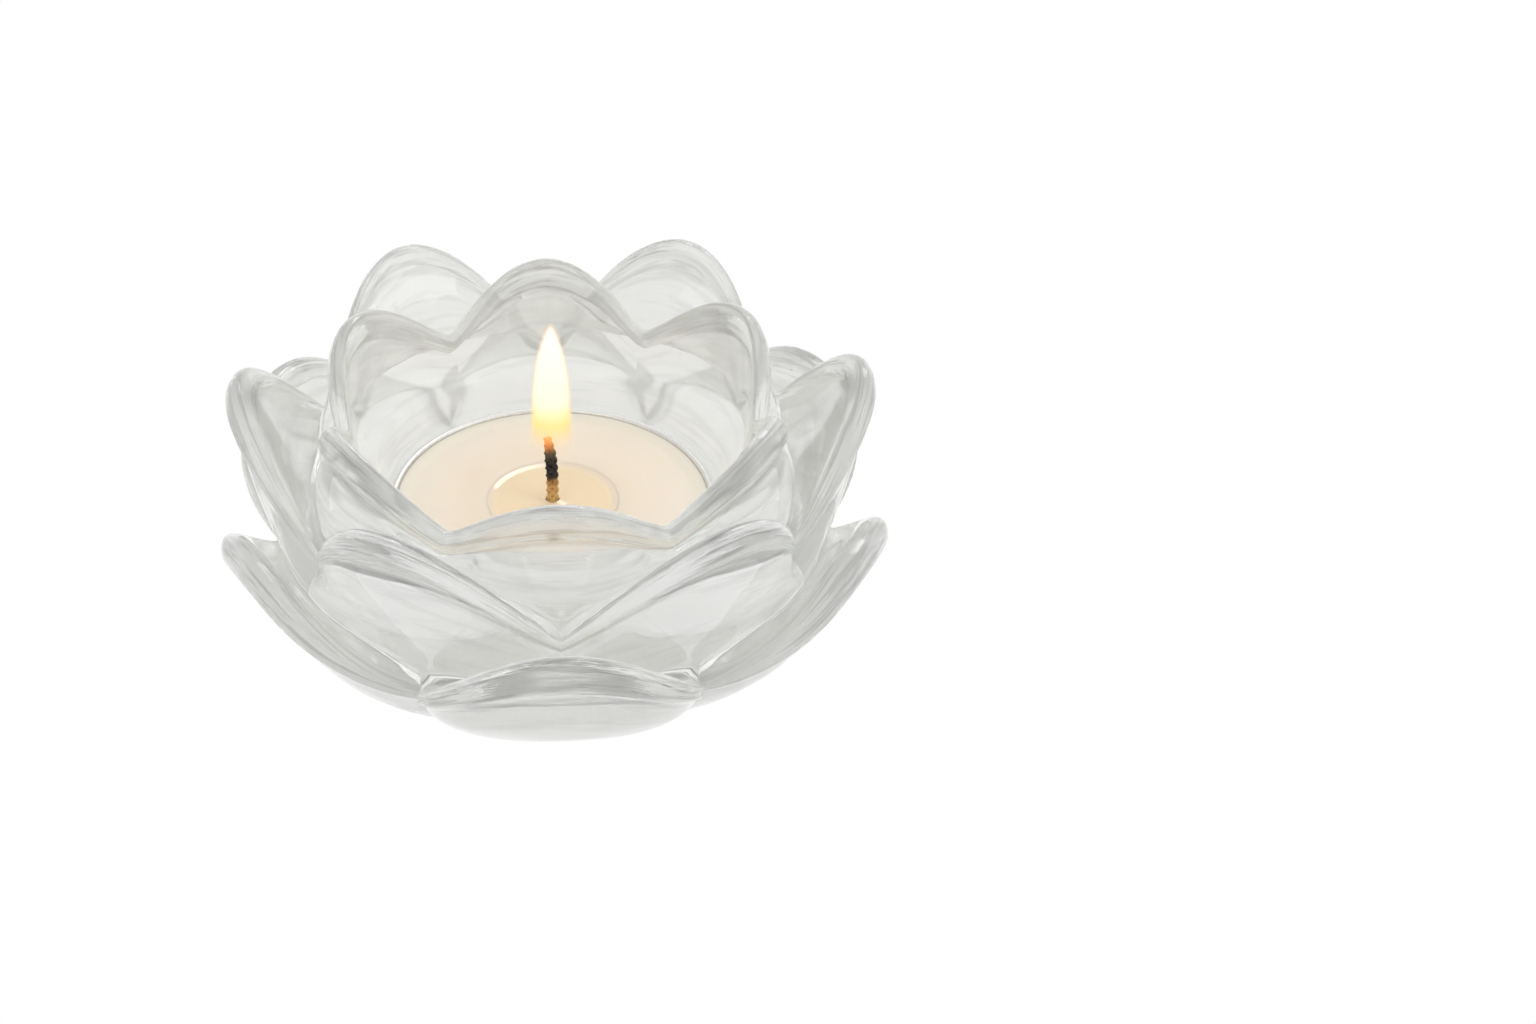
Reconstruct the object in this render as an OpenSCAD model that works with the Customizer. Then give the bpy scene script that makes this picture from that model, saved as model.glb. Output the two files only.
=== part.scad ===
// Lotus tealight holder: one pressed-glass bowl with three rings of petals, and the
// tealight that stands in it. Origin: centre of the foot. +Z up, -Y is the front.

/* [Bowl] */
// Width across the lowest petals, tip to tip
bowl_d = 101.6; // [98:0.4:106]
// Petals in each of the three rings
petals = 6; // [5:1:8]
// Outer diameter of the foot that the bowl stands on
foot_d = 52; // [50:1:56]
// Diameter of the round recess under the foot
recess_d = 45; // [40:1:48]
// Depth of the recess under the foot
recess_depth = 1.6; // [0.8:0.2:2.4]
// Diameter of the round well that takes the tealight
well_d = 49.6; // [49.4:0.1:50]
// Height of the floor of the well above the table
well_floor = 7; // [6:0.5:8]
// Height of the shoulder where the well meets the open bowl
well_top = 24.8; // [24.4:0.2:25.6]

/* [Lowest petals] */
// Height of the petal tips
low_tip_h = 32.2; // [30:0.2:33]
// Radius of the rim in the clefts between petals
low_cleft_r = 39.6; // [38.6:0.2:40.6]
// Height of the rim in the clefts
low_cleft_h = 15.2; // [14:0.2:17]
// Thickness of the rounded lip at a tip
low_lip = 4.8; // [3.6:0.2:5.2]

/* [Middle petals] */
// Width across the petal tips
mid_tip_d = 91.6; // [88:0.4:94]
// Height of the petal tips
mid_tip_h = 45.8; // [43:0.2:47]
// Radius of the rim in the clefts
mid_cleft_r = 38.7; // [38:0.1:39.2]
// Height of the rim in the clefts
mid_cleft_h = 27.4; // [26:0.2:28]
// Thickness of the rounded lip at a tip
mid_lip = 3.8; // [3:0.2:4.4]

/* [Top petals] */
// Width across the petal tips
top_tip_d = 69; // [67:0.4:72]
// Height of the petal tips
top_tip_h = 45.8; // [43:0.2:47]
// Radius of the rim in the clefts
top_cleft_r = 30.8; // [30:0.2:31.6]
// Height of the rim in the clefts
top_cleft_h = 36.9; // [36:0.2:38]
// Thickness of the rounded lip at a tip
top_lip = 3.6; // [3:0.2:4]

/* [Tealight] */
// Outer diameter of the tealight's aluminium cup, over its rolled rim
cup_d = 48.8; // [48:0.1:49]
// Height of the cup
cup_h = 17.4; // [16.6:0.2:17.8]
// Sheet thickness of the cup
cup_wall = 0.3; // [0.2:0.05:0.4]
// Diameter of the pool of molten wax around the wick
pool_d = 19; // [14:1:24]
// Depth of the molten pool
pool_depth = 0.9; // [0.6:0.1:1.2]
// Diameter of the braided wick
wick_d = 2; // [1.4:0.1:2.2]
// Diameter of the metal plate that holds the wick up
plate_d = 15; // [12:1:18]

/* [Hidden] */

// Glass surface: columns in half a petal, and steps between two points of the profile
half_petal = 180 / petals;
half_columns = 8;
columns = 2 * petals * half_columns;
steps = 2;

// Lean of the petals from upright in each ring
low_lean = 28;
mid_lean = 14;
top_lean = 10;

// How far a lip's outer edge stands out beyond the middle of the rim
low_overhang = low_lip * (cos(low_lean) / 2 - sin(low_lean) * 0.55);
low_tip_r = bowl_d / 2 - low_overhang;

// A ring of petals: azimuth of a tip (0 is the front), radius and height of the rim at a tip
// and in a cleft, lip thickness at a tip and the share of it left in a cleft, lean, and the
// form of the petal in plan and in height: under 1 is full, over 1 is pointed
low_ring = [0, low_tip_r, low_tip_h, low_cleft_r, low_cleft_h, low_lip, 0.22, low_lean, 0.5, 0.95];
mid_ring = [half_petal, mid_tip_d / 2, mid_tip_h, mid_cleft_r, mid_cleft_h, mid_lip, 0.3, mid_lean, 1.15, 1.15];
top_ring = [0, top_tip_d / 2, top_tip_h, top_cleft_r, top_cleft_h, top_lip, 0.7, top_lean, 1.35, 1.25];

// Bulge of a petal's outer face off its straight line, at a tip and in a cleft
low_bulge = [3, 1];
mid_bulge = [0.9, 0.2];
top_bulge = [0.5, 0.2];
// Hollow of a petal's inner face, the same way
face_hollow = 0.7;
// Deeper hollow inside the top ring, at a tip and in a cleft
top_hollow = [3, 0.7];
// Places of the two belly points between a petal's root and its neck
belly_shares = [0.35, 0.7];
// Neck under a lip: how far out and how far down from the crest, as shares of the lip
neck_out = 0.36;
neck_down = 1.2;

// Radius and height of the groove behind a ring, where that ring has a tip and a cleft
low_groove = [[41.3, 22.2], [39.9, 21]];
mid_groove = [[34.6, 34.4], [37, 31.4]];

well_r = well_d / 2;
shoulder_w = 0.6;
throat = [well_r + 1.9, well_top + 4.2];

// 1 at the tip of a petal and 0 in a cleft
function swing(ring, az, form) =
    let (c = abs(cos(petals / 2 * (az - ring[0]))))
    form < 1 ? 1 - pow(1 - c, 1 / form) : pow(c, form);
function mix(a, b, t) = a + (b - a) * t;

// Middle of the rim at one azimuth, and the thickness of the lip there
function crest(ring, az) = [
    mix(ring[3], ring[1], swing(ring, az, ring[8])),
    mix(ring[4], ring[2], swing(ring, az, ring[9]))
];
function lip(ring, az) = ring[5] * mix(ring[6], 1, swing(ring, az, ring[9]));

// Unit vectors along a petal towards its tip, and out of its outer face
function along(ring) = [sin(ring[7]), cos(ring[7])];
function outward(ring) = [cos(ring[7]), -sin(ring[7])];

// The lip is a bead: the neck below it is set in from its outer edge
function neck(ring, az) =
    crest(ring, az) + lip(ring, az) * (outward(ring) * neck_out - along(ring) * neck_down);
function lip_outer(ring, az) =
    crest(ring, az) + lip(ring, az) * (outward(ring) / 2 - along(ring) * 0.55);
function lip_inner(ring, az) =
    crest(ring, az) - lip(ring, az) * (outward(ring) / 2 + along(ring) * 0.35);

// Point a share of the way from a to b, pushed off the line by a bulge
function bowed(a, b, share, bulge) =
    let (chord = b - a, side = [chord.y, -chord.x] / norm(chord))
    a + chord * share + side * bulge * 4 * share * (1 - share);
function groove(ring, az, ends) = mix(ends[1], ends[0], swing(ring, az, 2));

// Points of the glass profile at one azimuth, from the foot over the rims to the well
function ring_points(ring, az, root, bulge) =
    let (b = mix(bulge[1], bulge[0], swing(ring, az, 1)))
    [
        for (s = belly_shares) bowed(root, neck(ring, az), s, b),
        neck(ring, az),
        lip_outer(ring, az),
        crest(ring, az),
        lip_inner(ring, az)
    ];
function profile(az) =
    let (
        foot = [foot_d / 2 + 1.2, 0.6],
        g1 = groove(low_ring, az, low_groove),
        g2 = groove(mid_ring, az, mid_groove)
    )
    [
        [foot_d / 2 - 0.6, 0],
        foot,
        each ring_points(low_ring, az, foot, low_bulge),
        bowed(g1, lip_inner(low_ring, az), 0.5, face_hollow),
        g1,
        each ring_points(mid_ring, az, g1, mid_bulge),
        bowed(g2, lip_inner(mid_ring, az), 0.5, face_hollow),
        g2,
        each ring_points(top_ring, az, g2, top_bulge),
        bowed(throat, lip_inner(top_ring, az), 0.38, mix(top_hollow[1], top_hollow[0], swing(top_ring, az, 1))),
        throat,
        [well_r + shoulder_w, well_top]
    ];

// Smooth curve through a list of points, with a given number of steps between two points
function smooth_point(a, b, c, d, t) =
    (2 * b + (c - a) * t + (2 * a - 5 * b + 4 * c - d) * t * t + (3 * b - a - 3 * c + d) * t * t * t) / 2;
function smooth(points, steps) =
    let (last = len(points) - 1)
    [
        for (i = [0 : last - 1], k = [0 : steps - 1])
            smooth_point(points[max(i - 1, 0)], points[i], points[i + 1], points[min(i + 2, last)], k / steps),
        points[last]
    ];

// Azimuth of a column: they crowd together at the tips and in the clefts
function column_azimuth(c) =
    half_petal * (floor(c / half_columns) + (1 - cos(180 * (c % half_columns) / half_columns)) / 2);
function turned(point, az) = [point.x * sin(az), -point.x * cos(az), point.y];

// Closed surface of the glass before the well and the recess are cut
module petal_body() {
    azimuths = [for (c = [0 : columns - 1]) column_azimuth(c)];
    // The smooth curve would dip just under the table beside the foot, so it stops at 0
    rings = [for (az = azimuths) [for (p = smooth(profile(az), steps)) turned([p.x, max(p.y, 0)], az)]];
    rows = len(rings[0]);
    points = [for (r = rings) each r];
    walls = [
        for (c = [0 : columns - 1], r = [0 : rows - 2])
            let (a = c * rows + r, b = (c + 1) % columns * rows + r)
            each [[a, b + 1, b], [a, a + 1, b + 1]]
    ];
    bottom = [for (c = [0 : columns - 1]) c * rows];
    top = [for (c = [columns - 1 : -1 : 0]) c * rows + rows - 1];
    polyhedron(points = points, faces = concat(walls, [bottom, top]), convexity = 8);
}

module lotus_bowl() {
    color([0.88, 0.92, 0.92, 0.35])
    difference() {
        petal_body();
        translate([0, 0, well_floor]) cylinder(r = well_r, h = 60, $fn = 128);
        translate([0, 0, -1]) cylinder(d = recess_d, h = recess_depth + 1, $fn = 128);
    }
}

// Tealight: sizes shared by its pieces
cup_r = cup_d / 2;
rim_w = 0.9;
cup_body_r = cup_r - 0.5;
cup_floor = well_floor + cup_wall;
cup_rim = well_floor + cup_h;
wax_gap = 0.15;
wax_r = cup_body_r - cup_wall - wax_gap;
wax_top = cup_rim - 0.8;
wax_bottom = cup_floor + 0.05;
plate_t = 0.3;
collar_h = 4;
collar_wall = 0.35;
wick_r = wick_d / 2;
wick_bend_z = wax_top + 2.2;
wick_bend_r = 60;
wick_bend_angle = 8.4;

module tealight_cup() {
    color([0.78, 0.78, 0.77])
    rotate_extrude($fn = 128)
    difference() {
        union() {
            translate([0, well_floor]) square([cup_body_r, cup_h - rim_w / 2]);
            translate([cup_r - rim_w / 2, cup_rim - rim_w / 2]) circle(d = rim_w, $fn = 24);
        }
        translate([-1, cup_floor]) square([cup_body_r - cup_wall + 1, cup_h + 1]);
    }
}

module wax() {
    edge_rise = 0.35;
    color([0.95, 0.90, 0.82])
    rotate_extrude($fn = 128)
    difference() {
        polygon([
            [0, wax_bottom],
            [wax_r - 0.6, wax_bottom],
            [wax_r, wax_bottom + 0.6],
            [wax_r, wax_top + edge_rise],
            [wax_r - 0.7, wax_top + 0.05],
            [wax_r - 2.2, wax_top],
            [0, wax_top]
        ]);
        // Melted dish
        polygon([
            [-1, wax_top + 1],
            [pool_d / 2 + 1.1, wax_top + 1],
            [pool_d / 2 + 0.3, wax_top],
            [pool_d / 2 - 0.8, wax_top - pool_depth],
            [-1, wax_top - pool_depth]
        ]);
        // Channel for the wick and seat for its plate
        translate([-1, wax_bottom - 1]) square([wick_r + 0.05 + 1, 30]);
        translate([-1, wax_bottom - 1]) square([plate_d / 2 + 0.1 + 1, plate_t + 1.05]);
        translate([-1, wax_bottom - 1]) square([wick_r + collar_wall + 0.15 + 1, plate_t + collar_h + 1.1]);
    }
}

module melt_pool() {
    level = wax_top - 0.3;
    floor_r = pool_d / 2 - 0.85;
    slope = 1.1 / pool_depth;
    color([0.93, 0.86, 0.72])
    rotate_extrude($fn = 96)
    polygon([
        [wick_r + 0.05, wax_top - pool_depth + 0.02],
        [floor_r, wax_top - pool_depth + 0.02],
        [floor_r + slope * (pool_depth - 0.32), level],
        [wick_r + 0.05, level]
    ]);
}

module wick() {
    start = cup_floor + plate_t + 0.1;
    color([0.2, 0.17, 0.15])
    union() {
        translate([0, 0, start]) cylinder(r = wick_r, h = wick_bend_z - start, $fn = 32);
        translate([-wick_bend_r, 0, wick_bend_z])
        rotate([90, 0, 0])
        rotate_extrude(angle = wick_bend_angle, $fn = 96)
        translate([wick_bend_r, 0]) circle(r = wick_r, $fn = 32);
    }
}

module wick_plate() {
    color([0.7, 0.7, 0.7])
    rotate_extrude($fn = 64)
    difference() {
        union() {
            translate([0, cup_floor]) square([plate_d / 2, plate_t]);
            translate([0, cup_floor]) square([wick_r + 0.05 + collar_wall, plate_t + collar_h]);
        }
        translate([-1, cup_floor + plate_t]) square([wick_r + 0.05 + 1, collar_h + 1]);
    }
}

lotus_bowl();
tealight_cup();
wax();
melt_pool();
wick();
wick_plate();
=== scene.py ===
# %% [markdown]
# # A lotus tealight holder in clear pressed glass
# The model underneath is a packed set of plain CAD solids. This lesson gives them their looks:
# clear glass with three rings of petals, a tealight in a thin aluminium cup, and its flame.
# Every length is in metres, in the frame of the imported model: the foot's centre is the origin,
# +Z is up and -Y is the front.
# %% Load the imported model
import math

import bpy
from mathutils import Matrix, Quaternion, Vector, noise


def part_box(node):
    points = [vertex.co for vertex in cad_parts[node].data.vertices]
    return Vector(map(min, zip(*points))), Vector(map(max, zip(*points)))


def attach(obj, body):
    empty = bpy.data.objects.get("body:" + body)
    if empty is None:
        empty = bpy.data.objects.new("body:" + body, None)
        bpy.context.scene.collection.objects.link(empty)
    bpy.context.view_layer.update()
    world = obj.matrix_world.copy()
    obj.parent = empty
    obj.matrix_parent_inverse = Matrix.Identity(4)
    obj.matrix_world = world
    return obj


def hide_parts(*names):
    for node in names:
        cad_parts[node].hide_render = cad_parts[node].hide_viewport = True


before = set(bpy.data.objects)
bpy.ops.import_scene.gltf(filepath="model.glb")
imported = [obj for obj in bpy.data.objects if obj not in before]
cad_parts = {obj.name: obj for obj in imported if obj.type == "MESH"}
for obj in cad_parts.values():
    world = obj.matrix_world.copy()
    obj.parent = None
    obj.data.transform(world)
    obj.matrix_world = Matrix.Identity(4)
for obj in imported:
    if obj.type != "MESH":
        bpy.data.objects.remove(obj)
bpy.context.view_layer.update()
MM = 0.001

# %% [markdown]
# ## Writing node trees as sums
# A material and a Geometry Nodes shape are both trees of nodes. Placing Math nodes one by one
# hides the formula, so a small class wraps a socket and lets Python's own signs add the nodes:
# `1 - mask` becomes a Subtract node. The reflected forms (`__rsub__` and the like) are what
# make a plain number on the left work.
# %% Wires
class Wire:
    """A value on its way to another node. Arithmetic on it adds Math nodes to its net."""

    def __init__(self, net, socket):
        self.net = net
        self.socket = socket

    def __add__(self, other):
        return self.net.math("ADD", self, other)

    def __radd__(self, other):
        return self.net.math("ADD", other, self)

    def __sub__(self, other):
        return self.net.math("SUBTRACT", self, other)

    def __rsub__(self, other):
        return self.net.math("SUBTRACT", other, self)

    def __mul__(self, other):
        return self.net.math("MULTIPLY", self, other)

    def __rmul__(self, other):
        return self.net.math("MULTIPLY", other, self)

    def __truediv__(self, other):
        return self.net.math("DIVIDE", self, other)

    def __rtruediv__(self, other):
        return self.net.math("DIVIDE", other, self)

    def __pow__(self, other):
        return self.net.math("POWER", self, other)

    def __neg__(self):
        return self.net.math("MULTIPLY", self, -1.0)

    def also(self, name):
        """Another output of the node that this wire comes from."""
        return Wire(self.net, self.socket.node.outputs[name])


# %% [markdown]
# Everything that isn't a sum comes from one method, `node`: it takes a node's type, its
# settings, and the values or wires of its sockets. The settings go first, because some of them
# decide which sockets the node has.
# %% Nets
class Net:
    """One node tree, and the only way that nodes get into it."""

    def __init__(self, tree):
        self.tree = tree

    def node(self, kind, settings=None, inputs=None, out=0):
        made = self.tree.nodes.new(kind)
        for name, value in (settings or {}).items():
            if name == "stops":
                set_stops(made.color_ramp, value)
            elif name == "items":
                add_items(made, value)
            else:
                setattr(made, name, value)
        for name, value in (inputs or {}).items():
            self.feed(made.inputs[name], value)
        return Wire(self, made.outputs[out]) if made.outputs else None

    def feed(self, socket, value):
        if isinstance(value, Wire):
            self.tree.links.new(value.socket, socket)
        else:
            socket.default_value = value

    def math(self, operation, *values):
        return self.node("ShaderNodeMath", {"operation": operation}, dict(enumerate(values)))

    def scaled(self, vector, shares):
        """A vector whose parts are each multiplied by their own share."""
        settings = {"operation": "MULTIPLY"}
        return self.node("ShaderNodeVectorMath", settings, {0: vector, 1: shares})

    def joined(self, x, y, z):
        return self.node("ShaderNodeCombineXYZ", inputs={"X": x, "Y": y, "Z": z})

    def split(self, vector):
        x = self.node("ShaderNodeSeparateXYZ", inputs={"Vector": vector})
        return x, x.also("Y"), x.also("Z")

    def length(self, a, b):
        return self.math("SQRT", a * a + b * b)

    def floor(self, value):
        return self.math("FLOOR", value)

    def clamp(self, value, low=0.0, high=1.0):
        return self.math("MAXIMUM", self.math("MINIMUM", value, high), low)

    def ramp(self, value, low, high):
        """0 below low, 1 above high, and an eased slope between."""
        settings = {"interpolation_type": "SMOOTHSTEP"}
        inputs = {"Value": value, "From Min": low, "From Max": high}
        return self.node("ShaderNodeMapRange", settings, inputs)

    def paint(self, stops, value):
        """The colour at value on a ramp with the given stops."""
        return self.node("ShaderNodeValToRGB", {"stops": stops}, {"Fac": value})


def mix(a, b, share):
    """The value a share of the way from a to b. Each may be a number, a wire or a spot."""
    return a + (b - a) * share


def noise_at(net, place, scale, detail=2.0, roughness=0.5):
    inputs = {"Vector": place, "Scale": scale, "Detail": detail, "Roughness": roughness}
    return net.node("ShaderNodeTexNoise", inputs=inputs)


def set_stops(color_ramp, stops):
    """stops is a list of (place from 0 to 1, colour)."""
    while len(color_ramp.elements) < len(stops):
        color_ramp.elements.new(1.0)
    for element, (place, colour) in zip(color_ramp.elements, stops):
        element.position = place
        element.color = (*colour, 1.0)


def add_items(switch, count):
    """Gives an Index Switch node count values to choose from."""
    while len(switch.index_switch_items) < count:
        switch.index_switch_items.new()


# %% [markdown]
# Colours are picked as a screen shows them, from 0 to 255, but a shader works in linear light,
# so one helper turns the first into the second.
# %% Colours
def screen(red, green, blue):
    """Linear colour of a screen colour given from 0 to 255."""
    shares = [value / 255 for value in (red, green, blue)]
    return tuple(s / 12.92 if s <= 0.04045 else ((s + 0.055) / 1.055) ** 2.4 for s in shares)


WAX_PALE = screen(246, 235, 220)
WAX_WARM = screen(241, 227, 208)
MOLTEN = screen(251, 232, 200)
MOLTEN_DEEP = screen(249, 227, 191)
ALUMINIUM = screen(249, 248, 247)
ALUMINIUM_DULL = screen(228, 227, 225)
TIN = screen(186, 186, 184)
TIN_DULL = screen(150, 150, 149)
CHAR = screen(44, 41, 39)
EMBER = screen(214, 106, 40)
SOAKED = screen(226, 186, 122)
print("linear wax colour:", [round(c, 3) for c in WAX_PALE])

# %% [markdown]
# ## Camera
# The holder is seen from a little above, close enough for perspective to show, and it sits left
# of the middle of the picture. A shifted lens puts it there without turning the camera.
# %% Camera
MIDDLE = Vector((0, 0, 25 * MM))
VIEW_DISTANCE = 299.8 * MM
VIEW_ELEVATION = math.radians(35.02)
VIEW_AZIMUTH = math.radians(-1.3)
VIEW_ROLL = math.radians(-0.65)
LENS = 46.69
LENS_SHIFT = (0.1403, -0.0138)


def placed(name, data):
    """A new object in the scene that holds the data."""
    thing = bpy.data.objects.new(name, data)
    bpy.context.scene.collection.objects.link(thing)
    return thing


def add_camera():
    data = bpy.data.cameras.new("camera")
    data.lens = LENS
    data.sensor_width = 36
    data.shift_x, data.shift_y = LENS_SHIFT
    camera = placed("camera", data)
    level = math.cos(VIEW_ELEVATION)
    back = Vector((
        math.sin(VIEW_AZIMUTH) * level,
        -math.cos(VIEW_AZIMUTH) * level,
        math.sin(VIEW_ELEVATION),
    ))
    camera.location = MIDDLE + back * VIEW_DISTANCE
    camera.rotation_mode = "QUATERNION"
    level_view = (-back).to_track_quat("-Z", "Y")
    camera.rotation_quaternion = level_view @ Quaternion((0, 0, 1), VIEW_ROLL)
    bpy.context.scene.camera = camera
    return camera


camera = add_camera()
print("camera at, mm:", [round(c / MM) for c in camera.location])

# %% [markdown]
# ## Floor and light
# Clear glass has no colour of its own. It shows what is round it, bent and mirrored, so the
# surroundings matter more than the glass. Here the floor glows white, as a light table does.
# The room is white at the horizon too, as if the floor swept up behind the holder, so no dark
# band shows there, and higher up it is a soft grey. Petals then look a little darker than the
# floor, and their edges draw fine light and dark lines. Three soft boxes add the highlights.
# %% Floor
FLOOR_REACH = 3.0
FLOOR_GLOW = 1.0


def new_material(name):
    """A material with an empty net."""
    material = bpy.data.materials.new(name)
    material.use_nodes = True
    material.node_tree.nodes.clear()
    return material, Net(material.node_tree)


def floor_material():
    material, net = new_material("light_table")
    white = net.node("ShaderNodeEmission", inputs={"Strength": FLOOR_GLOW})
    net.node("ShaderNodeOutputMaterial", inputs={"Surface": white})
    return material


def add_floor():
    signs = ((-1, -1), (1, -1), (1, 1), (-1, 1))
    corners = [(x * FLOOR_REACH, y * FLOOR_REACH, 0) for x, y in signs]
    mesh = bpy.data.meshes.new("floor")
    mesh.from_pydata(corners, [], [(0, 1, 2, 3)])
    mesh.materials.append(floor_material())
    placed("floor", mesh)


add_floor()
print("floor, metres from its middle to each side:", FLOOR_REACH)

# %% Light
ROOM_GREY = 0.7
SWEEP_START = 0.03
SWEEP_TOP = 0.4
SOFT_BOXES = {
    "key_box": {"place": (0.22, 0.6, 0.72), "size": (0.4, 0.25), "power": 1.6},
    "fill_box": {"place": (0.7, -0.35, 0.6), "size": (0.4, 0.4), "power": 0.8},
    "front_box": {"place": (-0.5, -0.7, 0.7), "size": (0.5, 0.5), "power": 0.8},
}
BOUNCES = 40
GLASS_BOUNCES = 24


def add_room():
    """White at the horizon, and grey from SWEEP_TOP upwards, where 1 is straight up."""
    world = bpy.data.worlds.new("room")
    world.use_nodes = True
    world.node_tree.nodes.clear()
    net = Net(world.node_tree)
    _, _, up = net.split(net.node("ShaderNodeTexCoord", out="Generated"))
    strength = mix(1.0, ROOM_GREY, net.ramp(up, SWEEP_START, SWEEP_TOP))
    grey = net.node("ShaderNodeBackground", inputs={"Color": (1, 1, 1, 1), "Strength": strength})
    net.node("ShaderNodeOutputWorld", inputs={"Surface": grey})
    bpy.context.scene.world = world


def add_soft_box(name, place, size, power):
    """A rectangular lamp that faces the middle of the holder."""
    data = bpy.data.lights.new(name, "AREA")
    data.shape = "RECTANGLE"
    data.size, data.size_y = size
    data.energy = power
    lamp = placed(name, data)
    lamp.location = place
    lamp.rotation_mode = "QUATERNION"
    aim = MIDDLE - Vector(place)
    lamp.rotation_quaternion = aim.to_track_quat("-Z", "Y")


add_room()
for name, box in SOFT_BOXES.items():
    add_soft_box(name, **box)
scene = bpy.context.scene
scene.view_settings.view_transform = "Standard"
scene.cycles.max_bounces = BOUNCES
scene.cycles.transmission_bounces = GLASS_BOUNCES
scene.cycles.glossy_bounces = GLASS_BOUNCES
scene.cycles.transparent_max_bounces = GLASS_BOUNCES

# %% [markdown]
# ## Growing a shape with Geometry Nodes
# A Geometry Nodes tree is a recipe with named inputs. `Recipe` makes one, adds an input for
# each size, and `grow` runs it: the inputs are set by their identifiers, the result is copied
# to a plain mesh, and the modifier is taken off again, so that the finished piece is an ordinary
# object at the origin.
# %% Recipes
SEAM = 0.002 * MM


class Recipe(Net):
    """A Geometry Nodes tree whose inputs are the given sizes."""

    def __init__(self, name, sizes):
        super().__init__(bpy.data.node_groups.new(name, "GeometryNodeTree"))
        self.sizes = sizes
        face = self.tree.interface
        face.new_socket(name="Geometry", in_out="INPUT", socket_type="NodeSocketGeometry")
        for size, value in sizes.items():
            kind = "NodeSocketInt" if isinstance(value, int) else "NodeSocketFloat"
            face.new_socket(name=size, in_out="INPUT", socket_type=kind)
        face.new_socket(name="Geometry", in_out="OUTPUT", socket_type="NodeSocketGeometry")
        self.entry = self.tree.nodes.new("NodeGroupInput")

    def size(self, name):
        return Wire(self, self.entry.outputs[name])

    def index(self):
        return self.node("GeometryNodeInputIndex")

    def choose(self, number, values):
        """The value whose place in the list is number."""
        settings = {"data_type": "FLOAT", "items": len(values)}
        inputs = {"Index": number}
        inputs.update({str(place): value for place, value in enumerate(values)})
        return self.node("GeometryNodeIndexSwitch", settings, inputs)

    def moved(self, geometry, **change):
        """The geometry with a new Position, or pushed by an Offset."""
        return self.node("GeometryNodeSetPosition", inputs={"Geometry": geometry, **change})

    def stored(self, geometry, name, value):
        """The geometry with a number kept at each point, for a material to read."""
        settings = {"data_type": "FLOAT"}
        inputs = {"Geometry": geometry, "Name": name, "Value": value}
        return self.node("GeometryNodeStoreNamedAttribute", settings, inputs)

    def merged(self, geometry):
        inputs = {"Geometry": geometry, "Distance": SEAM}
        return self.node("GeometryNodeMergeByDistance", inputs=inputs)

    def finish(self, geometry, material):
        """Closes seams and poles, smooths, and sets the material."""
        shape = self.node("GeometryNodeRealizeInstances", inputs={"Geometry": geometry})
        shape = self.node("GeometryNodeSetShadeSmooth", inputs={"Geometry": self.merged(shape)})
        inputs = {"Geometry": shape, "Material": material}
        shape = self.node("GeometryNodeSetMaterial", inputs=inputs)
        self.node("NodeGroupOutput", inputs={"Geometry": shape})


def grow(name, recipe):
    """Runs a recipe and returns its result as a plain object."""
    piece = placed(name, bpy.data.meshes.new(name + "_seed"))
    modifier = piece.modifiers.new("recipe", "NODES")
    modifier.node_group = recipe.tree
    for item in recipe.tree.interface.items_tree:
        if item.in_out == "INPUT" and item.name in recipe.sizes:
            modifier[item.identifier] = recipe.sizes[item.name]
    evaluated = piece.evaluated_get(bpy.context.evaluated_depsgraph_get())
    mesh = bpy.data.meshes.new_from_object(evaluated)
    piece.modifiers.clear()
    piece.data = mesh
    mesh.name = name
    keep_one_material(mesh)
    report(piece)
    return piece


def keep_one_material(mesh):
    """A recipe leaves an empty slot before its material, so the slots are laid out again."""
    material = next(m for m in mesh.materials if m)
    mesh.materials.clear()
    mesh.materials.append(material)
    mesh.polygons.foreach_set("material_index", [0] * len(mesh.polygons))


def volume(mesh):
    """Signed volume inside a closed mesh: it is negative where the faces point inwards."""
    mesh.calc_loop_triangles()
    points = mesh.vertices
    total = 0.0
    for triangle in mesh.loop_triangles:
        a, b, c = (points[v].co for v in triangle.vertices)
        total += a.dot(b.cross(c)) / 6
    return total


def report(piece):
    mesh = piece.data
    mesh.calc_loop_triangles()
    cubic_cm = volume(mesh) / (10 * MM) ** 3
    print(f"{piece.name}: {len(mesh.loop_triangles)} triangles, {cubic_cm:.2f} cm3")


# %% [markdown]
# ## The pressed glass
# The holder is one lump of glass, pressed in a mould: three rings of six petals, a round well
# for the tealight, and a foot with a recess. It could be sculpted, or cut from a subdivided
# block, but its shape follows a rule, so Geometry Nodes fits best. Seen from the axis, every
# direction has its own profile, from the middle of the underside, over the three rims, to the
# middle of the well's floor. As the direction turns, each rim rises to a petal's tip and sinks
# to the cleft between two petals.
#
# The sizes below are those of the CAD solid, so the glass stays where collision and mounts are.
# Each row of the petals' sizes has one value for the low, the middle and the top ring.
# %% Sizes of the petals
RINGS = ("low", "middle", "top")
PETAL_MM = {
    "tip radius": (49.9, 45.8, 34.5),
    "tip height": (32.2, 45.8, 45.8),
    "cleft radius": (39.6, 38.7, 30.8),
    "cleft height": (15.2, 27.4, 36.9),
    "lip": (4.8, 3.8, 3.6),
    "tip bulge": (3.0, 0.9, 0.5),
    "cleft bulge": (1.0, 0.2, 0.2),
    "tip hollow": (0.7, 0.7, 3.0),
    "cleft hollow": (0.7, 0.7, 0.7),
}
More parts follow.
